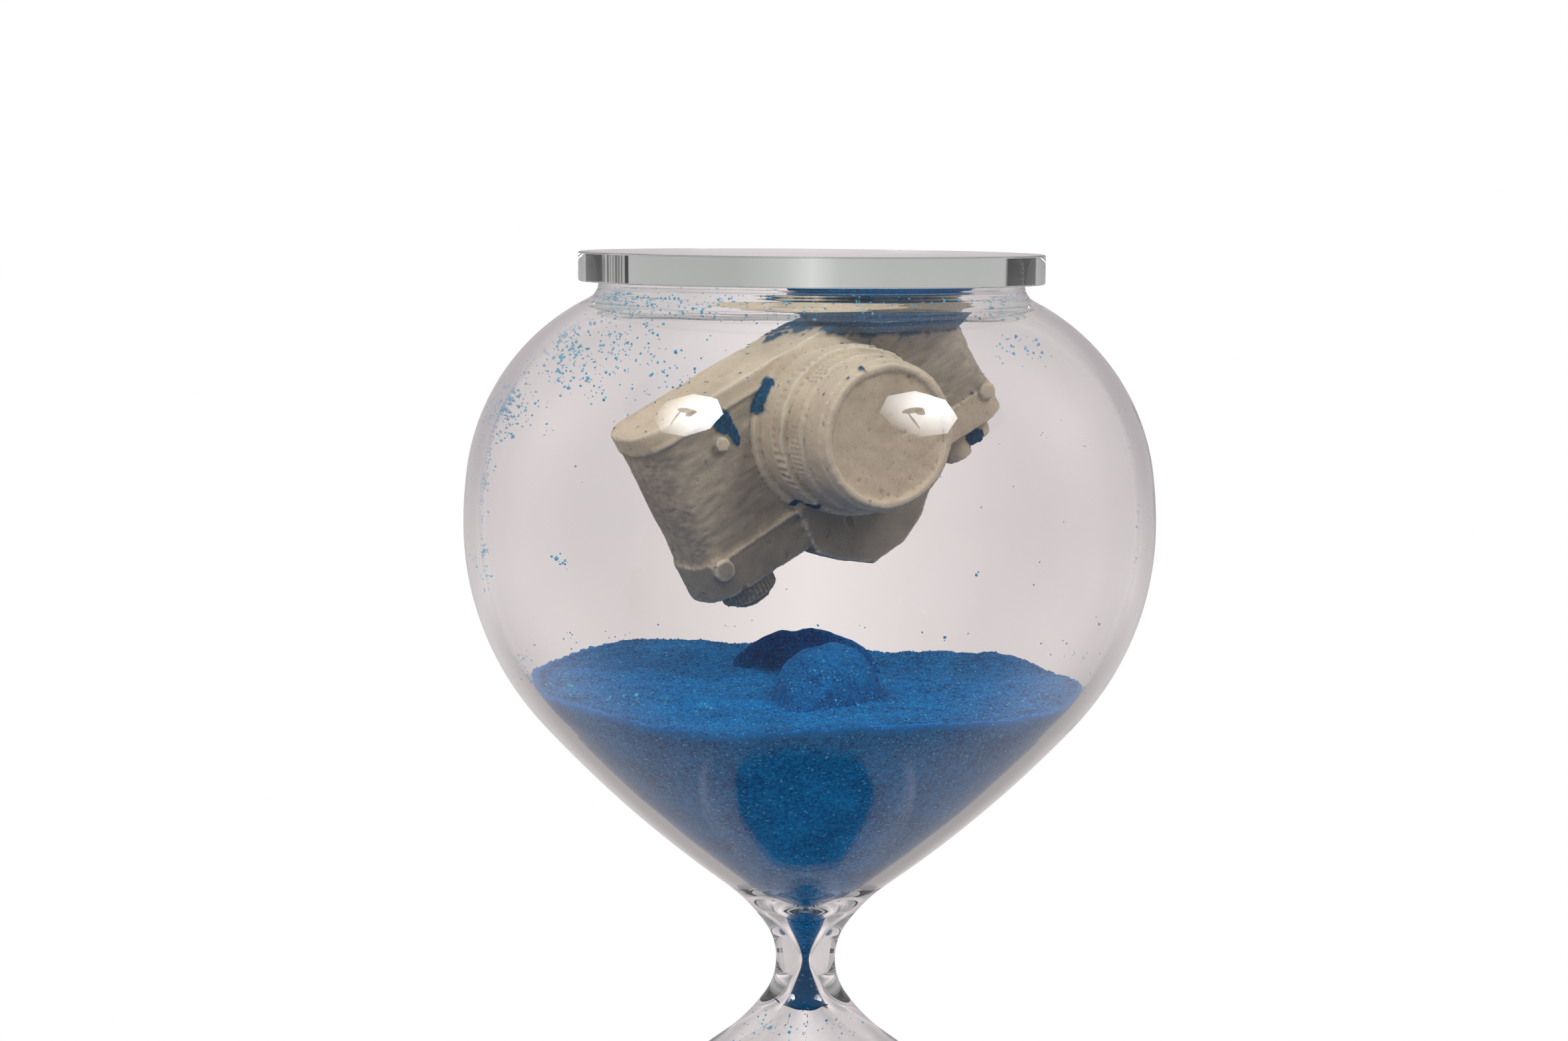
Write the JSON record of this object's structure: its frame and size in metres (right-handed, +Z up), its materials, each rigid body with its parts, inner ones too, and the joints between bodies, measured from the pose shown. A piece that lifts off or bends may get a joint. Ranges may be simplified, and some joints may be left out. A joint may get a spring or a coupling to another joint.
{
  "type": "hourglass",
  "caption": "Tall clear glass hourglass with round bulbs, thick neck, flat glass end plates, blue sand and a cast camera sculpture held inside the upper bulb.",
  "frame": {"origin": "centre of the lower end plate's underside", "axes": "+Z up through both bulbs along the vessel's axis, -Y towards the side that the cast lens faces"},
  "size_m": [0.232, 0.232, 0.4785],
  "materials": {
    "plate_glass": "polished clear sheet glass with a grey-green edge",
    "clear_adhesive": "clear glass adhesive film",
    "blown_glass": "clear hand-blown glass, smooth and glossy",
    "blue_sand": "fine matte dyed sand with a slight sparkle",
    "crusted_sand": "caked dyed sand, rough and matte",
    "cast_stone": "matte cast plaster, tan with rubbed edges"
  },
  "bodies": {
    "root": {"lower_end_plate": "plate_glass", "upper_end_plate": "plate_glass", "lower_bond_ring": "clear_adhesive", "upper_bond_ring": "clear_adhesive", "lower_bulb": "blown_glass", "upper_bulb": "blown_glass", "neck": "blown_glass", "upper_sand": "blue_sand", "throat_sand": "blue_sand", "lower_sand": "blue_sand", "sand_crust_lumps": "crusted_sand", "falling_grains": "blue_sand", "cast_camera": "cast_stone", "camera_bond_pad": "crusted_sand"}
  },
  "joints": []
}
